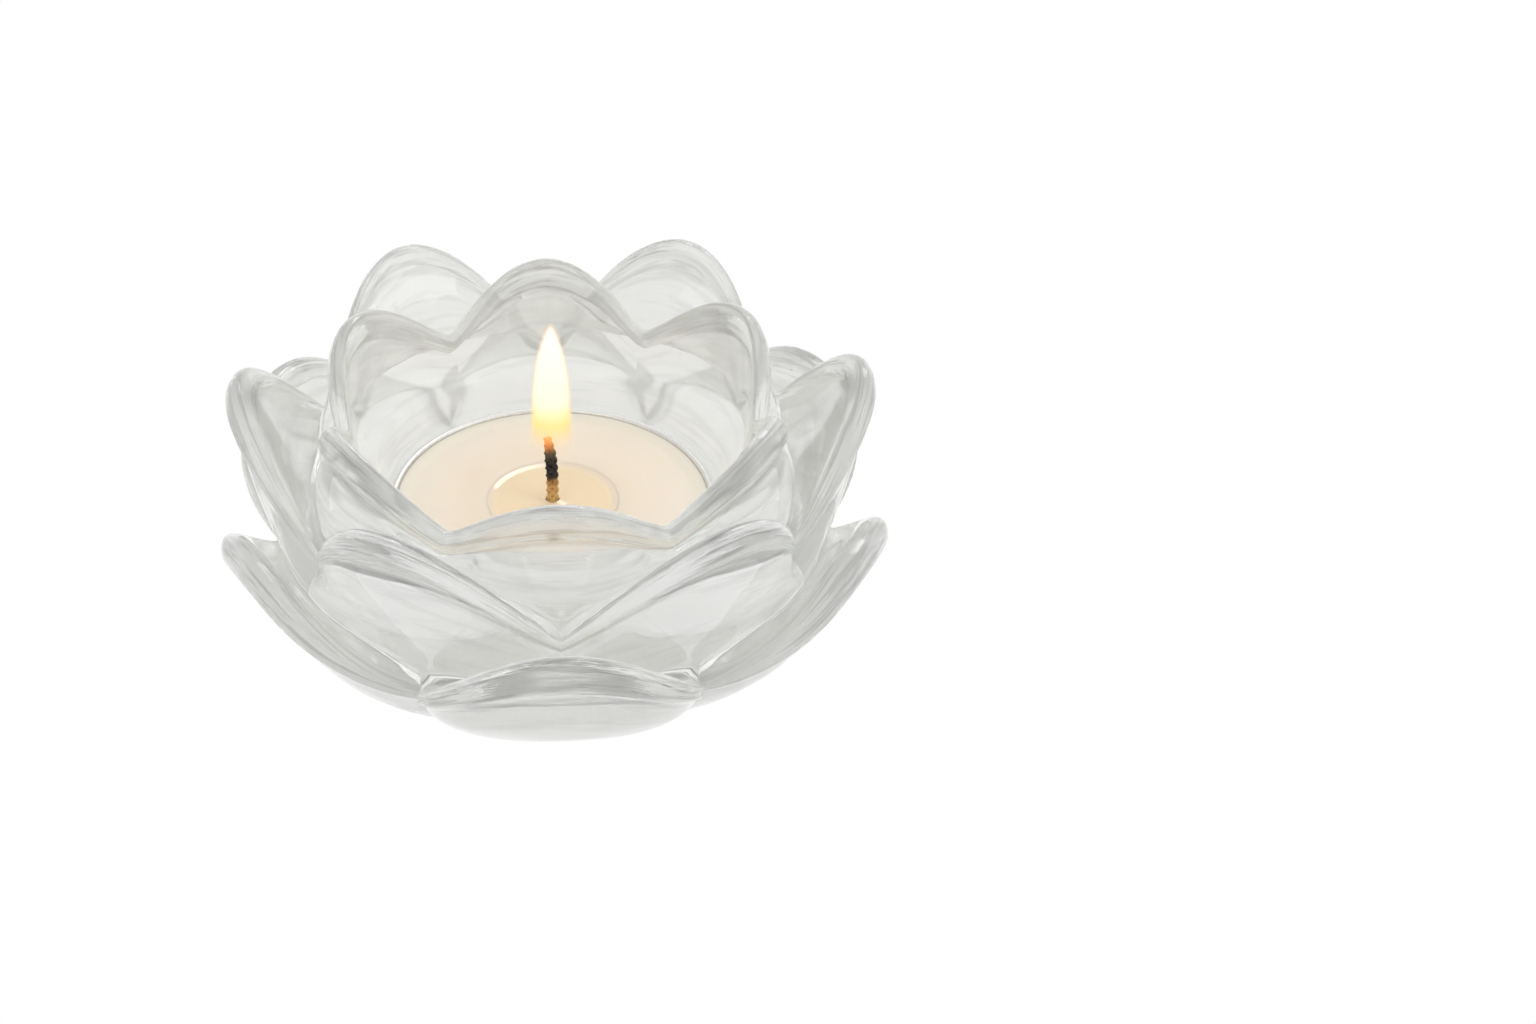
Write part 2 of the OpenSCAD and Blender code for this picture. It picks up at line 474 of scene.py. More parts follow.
PETAL_SHARES = {
    "lip share left": (0.22, 0.3, 0.7),
    "lean": tuple(math.radians(angle) for angle in (28, 14, 10)),
    "plan form": (0.5, 1.15, 1.35),
    "height form": (0.95, 1.15, 1.25),
    "hollow share": (0.5, 0.5, 0.38),
}
GLASS_MM = {
    "foot radius": 26.0,
    "recess radius": 22.5,
    "recess depth": 1.6,
    "well radius": 24.8,
    "well floor": 7.0,
    "well top": 24.8,
    "shoulder": 0.6,
    "throat radius": 26.7,
    "throat height": 29.0,
    "low groove tip radius": 41.3,
    "low groove tip height": 22.2,
    "low groove cleft radius": 39.9,
    "low groove cleft height": 21.0,
    "middle groove tip radius": 34.6,
    "middle groove tip height": 34.4,
    "middle groove cleft radius": 37.0,
    "middle groove cleft height": 31.4,
    "foot wave": 0.7,
    "press wave": 0.14,
}
PETALS = 6
HALF_COLUMNS = 30
STEPS = 5


def glass_sizes():
    """Named inputs of the glass recipe, in metres or as plain numbers."""
    sizes = {"petals": PETALS, "half columns": HALF_COLUMNS, "steps": STEPS}
    sizes.update({name: value * MM for name, value in GLASS_MM.items()})
    for place, ring in enumerate(RINGS):
        sizes.update({f"{ring} {name}": row[place] * MM for name, row in PETAL_MM.items()})
        sizes.update({f"{ring} {name}": row[place] for name, row in PETAL_SHARES.items()})
    return sizes


print("inputs of the glass recipe:", len(glass_sizes()))

# %% [markdown]
# A point of a profile is a radius and a height. `Spot` holds both, each a number or a wire, and
# lets them be added and scaled together.
# %% Spots
class Spot:
    """A point of a profile: its distance from the axis and its height."""

    def __init__(self, r, z):
        self.r = r
        self.z = z

    def __add__(self, other):
        return Spot(self.r + other.r, self.z + other.z)

    def __sub__(self, other):
        return Spot(self.r - other.r, self.z - other.z)

    def __mul__(self, scale):
        return Spot(self.r * scale, self.z * scale)


def choose_spot(net, number, spots):
    radius = net.choose(number, [spot.r for spot in spots])
    height = net.choose(number, [spot.z for spot in spots])
    return Spot(radius, height)


# %% [markdown]
# `petal_spot` is the heart of the recipe. `wave` is 1 at a petal's tip and 0 in a cleft, and a
# power of it draws a full or a pointed petal. The rim carries a lip, a rounded bead that leans
# outwards, with a neck under it. `LIP_SPOTS` says how far out from the crest and how far below
# it each spot of the lip lies, in shares of the lip's thickness. Eight roles follow one another
# up and over each petal: two on the belly, then neck, outer, crest, inner, hollow and behind.
# %% One petal's profile
ROLES = 8
BELLY_SHARES = (0.35, 0.7)
LIP_SPOTS = {"neck": (0.36, 1.2), "outer": (0.5, 0.55), "inner": (-0.5, 0.35)}
FOOT_EDGE = Spot(1.2 * MM, 0.6 * MM)


def swing(net, wave, form):
    """wave to the power of form, or a fuller curve where form is under 1."""
    pointed = wave ** form
    full = 1.0 - (1.0 - wave) ** (1.0 / form)
    return mix(pointed, full, net.math("LESS_THAN", form, 1.0))


def bowed(net, a, b, share, bulge):
    """A place between two spots, pushed off the straight line by a bulge."""
    chord = b - a
    length = net.length(chord.r, chord.z)
    side = Spot(chord.z / length, -chord.r / length)
    return a + chord * share + side * (bulge * (4.0 * share * (1.0 - share)))


def groove(net, ring, wave):
    """Bottom of the furrow behind a ring of petals."""
    share = wave * wave
    ends = [
        Spot(net.size(f"{ring} groove {end} radius"), net.size(f"{ring} groove {end} height"))
        for end in ("cleft", "tip")
    ]
    return mix(*ends, share)


def petal_spot(net, ring, role, front, between):
    """The spot of one role on one ring, as the profile passes over it."""

    def field(name):
        return net.choose(ring, [net.size(f"{which} {name}") for which in RINGS])

    wave = net.choose(ring, [front, between, front])
    rise = swing(net, wave, field("height form"))
    reach = swing(net, wave, field("plan form"))
    crest = Spot(
        mix(field("cleft radius"), field("tip radius"), reach),
        mix(field("cleft height"), field("tip height"), rise),
    )
    lip = field("lip") * mix(field("lip share left"), 1.0, rise)
    lean = field("lean")
    along = Spot(net.math("SINE", lean), net.math("COSINE", lean))
    outward = Spot(along.z, -along.r)
    neck, outer, inner = (
        crest + outward * (lip * out) - along * (lip * down) for out, down in LIP_SPOTS.values()
    )

    foot = Spot(net.size("foot radius"), 0.0) + FOOT_EDGE
    low_groove = groove(net, "low", front)
    middle_groove = groove(net, "middle", between)
    throat = Spot(net.size("throat radius"), net.size("throat height"))
    root = choose_spot(net, ring, [foot, low_groove, middle_groove])
    behind = choose_spot(net, ring, [low_groove, middle_groove, throat])
    bulge = mix(field("cleft bulge"), field("tip bulge"), wave)
    belly = [bowed(net, root, neck, share, bulge) for share in BELLY_SHARES]
    depth = mix(field("cleft hollow"), field("tip hollow"), wave)
    hollow = bowed(net, behind, inner, field("hollow share"), depth)
    return choose_spot(net, role, [*belly, neck, outer, crest, inner, hollow, behind])


# %% [markdown]
# Below the petals come the foot and its recess, and inside them the well. Their corners have
# to stay where they are, so each of these rows says how soft it is: 0 keeps a corner, 1 lets
# the curve flow through. The recess wall wavers a little, as fire-polished glass does.
# %% Foot and well
FOOT_ROWS = 7
WELL_ROWS = 6


def foot_rows(net, waver):
    """(spot, softness) from the middle of the underside to the edge of the foot."""
    recess = net.size("recess radius") + waver
    depth = net.size("recess depth")
    foot = net.size("foot radius")
    return [
        (Spot(0.0, depth), 0.0),
        (Spot(recess - 3.0 * MM, depth + waver * 0.5), 0.5),
        (Spot(recess - 0.6 * MM, depth * 0.8), 1.0),
        (Spot(recess, depth * 0.3), 0.6),
        (Spot(recess + 0.5 * MM, 0.0), 0.0),
        (Spot(foot - 0.6 * MM, 0.0), 0.0),
        (Spot(foot, 0.0) + FOOT_EDGE, 1.0),
    ]


def well_rows(net):
    """(spot, softness) from the shoulder down the well to the middle of its floor."""
    radius = net.size("well radius")
    top = net.size("well top")
    floor = net.size("well floor")
    return [
        (Spot(radius + net.size("shoulder"), top), 0.7),
        (Spot(radius, top - 1.2 * MM), 0.0),
        (Spot(radius, floor + 0.9 * MM), 0.0),
        (Spot(radius - 0.26 * MM, floor + 0.26 * MM), 1.0),
        (Spot(radius - 0.9 * MM, floor), 0.0),
        (Spot(0.0, floor), 0.0),
    ]


# %% [markdown]
# The recipe runs in two passes. The first lays out only the stations, the spots that the rule
# gives, as a grid with one column per direction. The second is a much finer grid that runs a
# smooth curve through each column's stations and then turns the column into place. Columns
# crowd together at tips and clefts, where the rims bend most.
# %% The glass recipe
def column_azimuth(net, column):
    half = net.size("half columns")
    part = net.floor((column + 0.5) / half)
    within = (column - part * half) / half
    eased = (1.0 - net.math("COSINE", within * math.pi)) * 0.5
    return (part + eased) * (math.pi / net.size("petals"))


def grid(net, columns, rows):
    """A grid's mesh, and the fields that give each point's column and row."""
    mesh = net.node("GeometryNodeMeshGrid", inputs={"Vertices X": columns, "Vertices Y": rows})
    column = net.floor((net.index() + 0.5) / rows)
    return mesh, column, net.index() - column * rows


def station_grid(net, columns):
    """First pass: X is the radius, Y the softness, and Z the height of each station."""
    petal_rows = len(RINGS) * ROLES
    rows = FOOT_ROWS + petal_rows + WELL_ROWS
    mesh, column, row = grid(net, columns, rows)
    azimuth = column_azimuth(net, column)
    turn = azimuth * (net.size("petals") * 0.5)
    front = net.math("ABSOLUTE", net.math("COSINE", turn))
    between = net.math("ABSOLUTE", net.math("SINE", turn))
    round_trip = net.joined(net.math("COSINE", azimuth), net.math("SINE", azimuth), 0.0)
    grain = noise_at(net, round_trip, 16.0)
    waver = (grain - 0.5) * (2.0 * net.size("foot wave"))

    step = row - FOOT_ROWS
    ring = net.clamp(net.floor((step + 0.5) / ROLES), 0.0, len(RINGS) - 1.0)
    role = net.clamp(step - ring * ROLES, 0.0, ROLES - 1.0)
    petal = petal_spot(net, ring, role, front, between)
    plain_rows = foot_rows(net, waver) + well_rows(net)
    past_petals = net.clamp(step - petal_rows + 1.0, 0.0, WELL_ROWS)
    plain_row = net.clamp(row, 0.0, FOOT_ROWS - 1.0) + past_petals
    plain = choose_spot(net, plain_row, [spot for spot, _ in plain_rows])
    softness = net.choose(plain_row, [soft for _, soft in plain_rows])
    above_foot = net.math("GREATER_THAN", step, -0.5)
    on_petal = above_foot * net.math("LESS_THAN", step, petal_rows - 0.5)
    spot = mix(plain, petal, on_petal)
    place = net.joined(spot.r, mix(softness, 1.0, on_petal), spot.z)
    return net.moved(mesh, Position=place), rows


def smooth_skin(net, stations, rows, columns):
    """Second pass: a fine grid on smooth curves through the stations."""
    steps = net.size("steps")
    fine_rows = steps * (rows - 1) + 1.0
    mesh, column, fine_row = grid(net, columns, fine_rows)
    segment = net.clamp(net.floor((fine_row + 0.5) / steps), 0.0, rows - 2.0)
    t = fine_row / steps - segment
    position = net.node("GeometryNodeInputPosition")

    def station(offset):
        place = column * rows + net.clamp(segment + offset, 0.0, rows - 1.0)
        inputs = {"Geometry": stations, "Value": position, "Index": place}
        sampled = net.node("GeometryNodeSampleIndex", {"data_type": "FLOAT_VECTOR"}, inputs)
        r, soft, z = net.split(sampled)
        return Spot(r, z), soft

    before, _ = station(-1.0)
    start, start_soft = station(0.0)
    end, end_soft = station(1.0)
    after, _ = station(2.0)
    leave = (end - before) * (start_soft * 0.5)
    arrive = (after - start) * (end_soft * 0.5)
    t2 = t * t
    t3 = t2 * t
    spot = (
        start * (2.0 * t3 - 3.0 * t2 + 1.0)
        + leave * (t3 - 2.0 * t2 + t)
        + end * (3.0 * t2 - 2.0 * t3)
        + arrive * (t3 - t2)
    )
    azimuth = column_azimuth(net, column)
    x = spot.r * net.math("SINE", azimuth)
    y = -spot.r * net.math("COSINE", azimuth)
    z = net.math("MAXIMUM", spot.z, 0.0)
    skin = net.moved(mesh, Position=net.joined(x, y, z))
    return net.stored(skin, "station", fine_row / steps)


# %% [markdown]
# Pressed glass is never quite even: its petals swell and thin by a tenth of a millimetre. The
# well and the foot have to stay true, so the unevenness sets in beyond the well's radius and
# above the foot.
# %% Unevenness
UNEVEN_FROM_AXIS = (25.2 * MM, 28.5 * MM)
UNEVEN_FROM_FLOOR = (1.0 * MM, 6.0 * MM)


def pressed_unevenness(net, skin):
    """Pushes each point of the skin a little along its normal."""
    position = net.node("GeometryNodeInputPosition")
    x, y, z = net.split(position)
    outside = net.ramp(net.length(x, y), *UNEVEN_FROM_AXIS) * net.ramp(z, *UNEVEN_FROM_FLOOR)
    grain = noise_at(net, net.scaled(position, (1.0, 1.0, 0.45)), 130.0, 1.5)
    amount = (grain - 0.5) * (2.0 * net.size("press wave")) * outside
    normal = net.node("GeometryNodeInputNormal")
    push = net.node("ShaderNodeVectorMath", {"operation": "SCALE"}, {0: normal, "Scale": amount})
    return net.moved(net.merged(skin), Offset=push)


def glass_recipe(material):
    net = Recipe("lotus glass", glass_sizes())
    columns = 2.0 * net.size("petals") * net.size("half columns") + 1.0
    stations, rows = station_grid(net, columns)
    skin = smooth_skin(net, stations, rows, columns)
    net.finish(pressed_unevenness(net, skin), material)
    return net


# %% [markdown]
# ## Clear glass
# A glass shader bends light by its index of refraction, here that of a light glass. Pressed
# glass isn't perfectly clear, so a quarter of this one scatters light instead, which makes it
# faintly milky, and the inner wall, from the top lip down, is rougher than the outside. Rays
# from lamps would have to find their way through it by luck, so those alone pass straight
# through: a Light Path node asks whether a ray is a shadow ray and swaps in a Transparent shader.
#
# Fine lines run along every lip, where the glass flowed in the mould. They could be drawn on a
# UV map, but the recipe has stored each point's station along the profile, and a line at one
# station follows the lip as it rises and falls. The lines tilt the glass's surface through a Bump
# node, together with streaks from the mould. They also darken the glass's colour along the lips,
# and faintly in streaks over all of it. That part is painted shade: dark lines, such as
# refraction draws in thick glass, put into the colour.
# %% Materials that vary over a piece
def piece_material(name):
    """A material, its empty net, and the place of each point on the piece."""
    material, net = new_material(name)
    return material, net, net.node("ShaderNodeTexCoord", out="Object")


def bump(net, height, distance, strength=1.0):
    inputs = {"Height": height, "Distance": distance, "Strength": strength}
    return net.node("ShaderNodeBump", inputs=inputs)


def stored_number(net, name):
    """A number that a recipe stored at every point."""
    return net.node("ShaderNodeAttribute", {"attribute_name": name}, out="Fac")


def finish_surface(net, inputs):
    """Ends a material in one Principled shader with the given inputs."""
    surface = net.node("ShaderNodeBsdfPrincipled", inputs=inputs)
    net.node("ShaderNodeOutputMaterial", inputs={"Surface": surface})


# %% Lines along the lips, and the shade painted along them
LIP_BEGINS = (1.6, 2.2)
LIP_ENDS = (4.9, 5.7)
NECK_EDGE = (1.9, 0.22)
INNER_EDGE = (5.15, 0.3)
WALL_BEGINS = (5.3, 6.2)
ROUND_SCALE = 60.0
STATION_SCALE = 3.6
SHADE_STREAK_RAMP = (0.53, 0.59)


def thin_line(net, value, place, width):
    """1 where value is at the place, and 0 farther off than width."""
    return 1.0 - net.ramp(net.math("ABSOLUTE", value - place), 0.0, width)


def lip_lines(net, place):
    """Painted shade lines along each lip as a mask, a mask of the inner wall, and the lines as a
    height.

    Places along a lip are counted in roles, and 2 is the neck and 5 the inner side.
    """
    station = stored_number(net, "station") - FOOT_ROWS
    last_ring = len(RINGS) - 1.0
    ring = net.clamp(net.floor(station / ROLES), 0.0, last_ring)
    role = station - ring * ROLES
    lip = net.ramp(role, *LIP_BEGINS) * (1.0 - net.ramp(role, *LIP_ENDS))
    inside = net.ramp(station, *(last_ring * ROLES + begins for begins in WALL_BEGINS))
    x, y, _ = net.split(place)
    across = net.joined(x * ROUND_SCALE, y * ROUND_SCALE, station * STATION_SCALE)
    grain = noise_at(net, across, 1.0, 3.0, 0.62)
    # The edge lines and the streaks make the mask of painted shade: dark lines put into the
    # glass's colour where refraction would draw them.
    edges = thin_line(net, role, *NECK_EDGE) + thin_line(net, role, *INNER_EDGE)
    strands = net.ramp(grain, *SHADE_STREAK_RAMP) * (0.3 + 0.7 * lip)
    return net.clamp(strands + edges * grain * 1.3), inside, grain * lip


# %% Glass material
GLASS_TINT = (0.875, 0.88, 0.862)
# The dark colour of the painted shade lines.
PAINTED_LINE_SHADE = (0.6, 0.605, 0.59)
LAMP_TINT = (0.93, 0.935, 0.925, 1.0)
GLASS_INDEX = 1.47
CLEAR_SHARE = 0.75
POLISH = 0.04
WALL_ROUGHNESS = 0.18
RIDGE_SHARE = 2.4


def glass_material():
    material, net, place = piece_material("clear_pressed_glass")
    streaks = noise_at(net, net.scaled(place, (1.0, 1.0, 0.22)), 230.0, 1.5)
    lines, inside, ridges = lip_lines(net, place)
    inputs = {
        # Painted shade: the mask darkens the glass's colour into lines along the lips and faint
        # streaks.
        "Base Color": net.paint([(0.0, GLASS_TINT), (1.0, PAINTED_LINE_SHADE)], lines),
        "Roughness": POLISH + inside * WALL_ROUGHNESS,
        "IOR": GLASS_INDEX,
        "Transmission Weight": CLEAR_SHARE,
        "Normal": bump(net, streaks + ridges * RIDGE_SHARE, 0.12 * MM, 0.7),
    }
    glass = net.node("ShaderNodeBsdfPrincipled", inputs=inputs)
    clear = net.node("ShaderNodeBsdfTransparent", inputs={"Color": LAMP_TINT})
    lamp_ray = net.node("ShaderNodeLightPath", out="Is Shadow Ray")
    surface = net.node("ShaderNodeMixShader", inputs={0: lamp_ray, 1: glass, 2: clear})
    net.node("ShaderNodeOutputMaterial", inputs={"Surface": surface})
    return material


# %% Grow the glass
glass = grow("lotus_glass", glass_recipe(glass_material()))
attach(glass, "bowl")
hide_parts("lotus_bowl")

# %% [markdown]
# ## Turned pieces
# The tealight's cup, its wax and the molten pool are all round, so each is an outline turned
# about the axis. A Screw modifier would do, but a short loop gives closed poles and no seam,
# and lets one outline mix straight stretches with arcs.
# %% Turning
TURNED_COLUMNS = 144
POLE = 0.0001 * MM


def arc(centre, radius, start, end, steps):
    """Points of a round stretch. Angles are in degrees, from outwards towards up."""
    points = []
    for step in range(steps + 1):
        angle = math.radians(start + (end - start) * step / steps)
        points.append((centre[0] + radius * math.cos(angle), centre[1] + radius * math.sin(angle)))
    return points


def slope(start, end, steps):
    """Points of a soft slope, level at both ends, without its first point."""
    points = []
    for step in range(1, steps + 1):
        share = step / steps
        eased = (1 - math.cos(math.pi * share)) / 2
        points.append((mix(start[0], end[0], share), mix(start[1], end[1], eased)))
    return points


def turn(name, outline, material, crease=35):
    """Turns an outline about the axis. It runs up the outside, and closes if it has no poles."""
    columns = TURNED_COLUMNS
    points = []
    rings = []
    for r, z in outline:
        first = len(points)
        if r < POLE:
            points.append((0.0, 0.0, z))
            rings.append([first] * columns)
            continue
        for column in range(columns):
            azimuth = 2 * math.pi * column / columns
            points.append((r * math.sin(azimuth), -r * math.cos(azimuth), z))
        rings.append(list(range(first, first + columns)))
    has_poles = outline[0][0] < POLE and outline[-1][0] < POLE
    above = rings[1:] if has_poles else rings[1:] + rings[:1]
    faces = []
    for lower, upper in zip(rings, above):
        for column in range(columns):
            following = (column + 1) % columns
            corners = [lower[column], lower[following], upper[following], upper[column]]
            faces.append(list(dict.fromkeys(corners)))
    mesh = bpy.data.meshes.new(name)
    mesh.from_pydata(points, [], faces)
    mesh.materials.append(material)
    mesh.shade_smooth()
    mesh.set_sharp_from_angle(angle=math.radians(crease))
    piece = placed(name, mesh)
    report(piece)
    return piece


# %% [markdown]
# ## Aluminium cup
# A tealight cup is drawn from a thin disc, so its wall has fine upright draw marks, and its cut
# edge is curled over into a bead. The finish is metallic: what varies is how rough it is, in
# streaks that are long in height and short round the cup.
# %% Aluminium
def aluminium_material():
    material, net, place = piece_material("drawn_aluminium")
    streaks = noise_at(net, net.scaled(place, (1.0, 1.0, 0.04)), 2600.0, 3.0, 0.6)
    cloud = noise_at(net, place, 160.0)
    stops = [(0.3, ALUMINIUM_DULL), (0.7, ALUMINIUM)]
    inputs = {
        "Base Color": net.paint(stops, streaks * 0.6 + cloud * 0.4),
        "Metallic": 1.0,
        "Roughness": 0.32 + streaks * 0.16,
        "Normal": bump(net, streaks, 0.03 * MM, 0.5),
    }
    finish_surface(net, inputs)
    return material


# %% The cup's outline
SHEET = 0.3 * MM
RIM_BEAD = 0.45 * MM
RIM_OVERHANG = 0.5 * MM
BASE_BEND = 1.2 * MM
BASE_GROOVES = ((9.0 * MM, 10.6 * MM), (17.6 * MM, 19.4 * MM))
GROOVE_DEPTH = 0.12 * MM
GROOVE_SIDE = 0.4 * MM


def base_grooves(base):
    """Two shallow rings pressed up into the base, which stiffen it."""
    points = []
    for start, end in BASE_GROOVES:
        roof = [(r, base + GROOVE_DEPTH) for r in (start + GROOVE_SIDE, end - GROOVE_SIDE)]
        points += [(start, base), *roof, (end, base)]
    return points


def cup_outline():
    low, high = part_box("tealight_cup")
    bead = (high.x - RIM_BEAD, high.z - RIM_BEAD)
    bend = (high.x - RIM_OVERHANG - BASE_BEND, low.z + BASE_BEND)
    outside = arc(bend, BASE_BEND, -90, 0, 8)
    rim = arc(bead, RIM_BEAD, -96, 172, 22)
    inside = arc(bend, BASE_BEND - SHEET, 0, -90, 6)
    grooves = base_grooves(low.z)
    return [(0.0, low.z), *grooves, *outside, *rim, *inside, (0.0, low.z + SHEET)]


cup = turn("drawn_cup", cup_outline(), aluminium_material())
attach(cup, "cup")
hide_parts("tealight_cup")

# %% [markdown]
# ## Wax
# Poured wax creeps up the cup's wall as it sets, and the flame melts a shallow dish in the
# middle. Light goes a few millimetres into wax before it comes out again, so the shader needs
# subsurface scattering: without it wax looks like painted plaster. The colour drifts a little
# between a pale and a warm cream. Towards the middle it turns warmer. In part that is the tone of
# wax softened beside the pool, and in part a painted warm glow: the flame's light put into the
# colour.
# %% Wax material
MELT_TINT_AND_GLOW_ZONE = (9.0 * MM, 23.0 * MM)


def wax_material():
    material, net, place = piece_material("poured_wax")
    x, y, _ = net.split(place)
    # Warmer towards the middle: partly the tone of softened wax near the pool, partly a painted
    # glow of the flame's light.
    melt_tint_and_glow = 1.0 - net.ramp(net.length(x, y), *MELT_TINT_AND_GLOW_ZONE)
    drift = noise_at(net, place, 70.0, 3.0) * 0.7 + melt_tint_and_glow * 0.5
    grain = noise_at(net, place, 900.0, 3.0, 0.6)
    inputs = {
        "Base Color": net.paint([(0.25, WAX_PALE), (0.85, WAX_WARM)], drift),
        "Roughness": 0.42 + grain * 0.12,
        "Subsurface Weight": 0.4,
        "Subsurface Radius": (1.0, 0.62, 0.36),
        "Subsurface Scale": 3.0 * MM,
        "IOR": 1.43,
        "Normal": bump(net, grain, 0.03 * MM, 0.5),
    }
    finish_surface(net, inputs)
    return material


# %% The wax block
WICK_RADIUS = 1.0 * MM
CHANNEL = WICK_RADIUS + 0.05 * MM
POOL_RADIUS = 9.5 * MM
POOL_DEPTH = 0.9 * MM
EDGE_RISE = 0.35 * MM
EDGE_REACH = 2.6 * MM
EDGE_ROUND = 0.15 * MM
BASE_ROUND = 0.8 * MM
PLATE_ROOM = {"gap": 0.1 * MM, "height": 0.35 * MM}
COLLAR_ROOM = {"gap": 0.5 * MM, "height": 4.4 * MM}


def dish_side(top):
    """The melted dish's side, from the wax's top down to the dish's floor."""
    return slope((POOL_RADIUS + 1.0 * MM, top), (POOL_RADIUS - 1.3 * MM, top - POOL_DEPTH), 14)


def wax_outline():
    """Closed outline with the seat of the wick's plate, its collar and its channel left free."""
    low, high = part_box("wax")
    top = high.z - EDGE_RISE
    seat_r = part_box("wick_plate")[1].x + PLATE_ROOM["gap"]
    seat_top = low.z + PLATE_ROOM["height"]
    collar_r = WICK_RADIUS + COLLAR_ROOM["gap"]
    collar_top = low.z + COLLAR_ROOM["height"]
    dish = top - POOL_DEPTH
    outline = [(seat_r, low.z), (high.x - BASE_ROUND, low.z)]
    outline += arc((high.x - BASE_ROUND, low.z + BASE_ROUND), BASE_ROUND, -90, 0, 6)[1:]
    outline += [(high.x, top + EDGE_RISE * 0.5)]
    outline += arc((high.x - EDGE_ROUND, high.z - EDGE_ROUND), EDGE_ROUND, 0, 90, 4)
    outline += slope((high.x - EDGE_ROUND, high.z), (high.x - EDGE_REACH, top), 10)
    outline += [(r * MM, top) for r in (19.0, 17.0, 15.0, 13.0)]
    outline += dish_side(top)
    outline += [(4.0 * MM, dish), (CHANNEL, dish), (CHANNEL, collar_top)]
    outline += [(collar_r, collar_top), (collar_r, seat_top), (seat_r, seat_top)]
    return outline


def settle(piece, height, size, above):
    """Lets a top surface wander a little, as wax does when it cools."""
    for vertex in piece.data.vertices:
        if vertex.co.z > above:
            vertex.co.z += height * noise.noise(vertex.co / size)


wax = turn("poured_wax", wax_outline(), wax_material())
settle(wax, height=0.07 * MM, size=7.0 * MM, above=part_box("wax")[1].z - 1.5 * MM)
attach(wax, "candle")
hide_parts("wax")

# %% [markdown]
# Molten wax is clear and still, a shade deeper than the solid. It climbs the wick and the edge
# of the dish by a fraction of a millimetre, and that rim is what catches a lamp as a bright arc.
# %% Molten pool
SHALLOWS = (8.2 * MM, 9.9 * MM)
WICK_CLIMB = 0.3 * MM
EDGE_CLIMB = 0.18 * MM
EDGE_CURVE = 1.1 * MM
CLIMB_RADIUS = 2.4 * MM


def molten_material():
    material, net, place = piece_material("clear_melt")
    x, y, _ = net.split(place)
    depth = 1.0 - net.ramp(net.length(x, y), *SHALLOWS)
    cloud = noise_at(net, place, 240.0)
    stops = [(0.0, WAX_WARM), (0.75, MOLTEN), (1.0, MOLTEN_DEEP)]
    inputs = {
        "Base Color": net.paint(stops, depth * 0.8 + cloud * 0.2),
        "Roughness": 0.06 + cloud * 0.03,
        "IOR": 1.44,
        "Coat Weight": 0.2,
        "Coat Roughness": 0.02,
    }
    finish_surface(net, inputs)
    return material


def pool_outline():
    """The wetted dish, a hair inside the wax, then the surface from its edge to the wick."""
    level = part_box("melt_pool")[1].z
    edge = level + EDGE_CLIMB
    side = dish_side(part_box("wax")[1].z - EDGE_RISE)
    wet = [(r - 0.02 * MM, z + 0.01 * MM) for r, z in reversed(side) if z < edge - 0.03 * MM]
    outline = [(CHANNEL, wet[0][1]), *wet]
    outline += slope(wet[-1], (wet[-1][0] - EDGE_CURVE, level), 8)
    outline += [(6.0 * MM, level), (4.0 * MM, level), (CLIMB_RADIUS, level)]
    outline += slope((CLIMB_RADIUS, level), (CHANNEL, level + WICK_CLIMB), 8)
    return outline


pool = turn("molten_pool", pool_outline(), molten_material(), crease=25)
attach(pool, "candle")
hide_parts("melt_pool")

# %% [markdown]
# ## Braided wick
# A wick is braided from cotton strands: half of them wind one way, half the other, and each
# passes over and under in turn. The rule is short, so Geometry Nodes lays the strands: a strand's
# distance from the middle swells and shrinks with its own angle, in opposite sense for the two
# directions, so that where two strands meet one is always outside. A core strand fills the middle.
# %% The wick recipe
WICK_SIZES = {
    "strands": 8,
    "points": 120,
    "turns": 5.0,
    "strand radius": 0.25 * MM,
    "core radius": 0.52 * MM,
    "braid radius": 0.62 * MM,
    "weave": 0.13 * MM,
    "bottom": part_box("wick")[0].z,
    "bend height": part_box("wax")[1].z - EDGE_RISE + 2.2 * MM,
    "bend radius": 60 * MM,
    "bend angle": math.radians(8.4),
    "tip loss": 0.32,
    "tip start": 0.86,
}


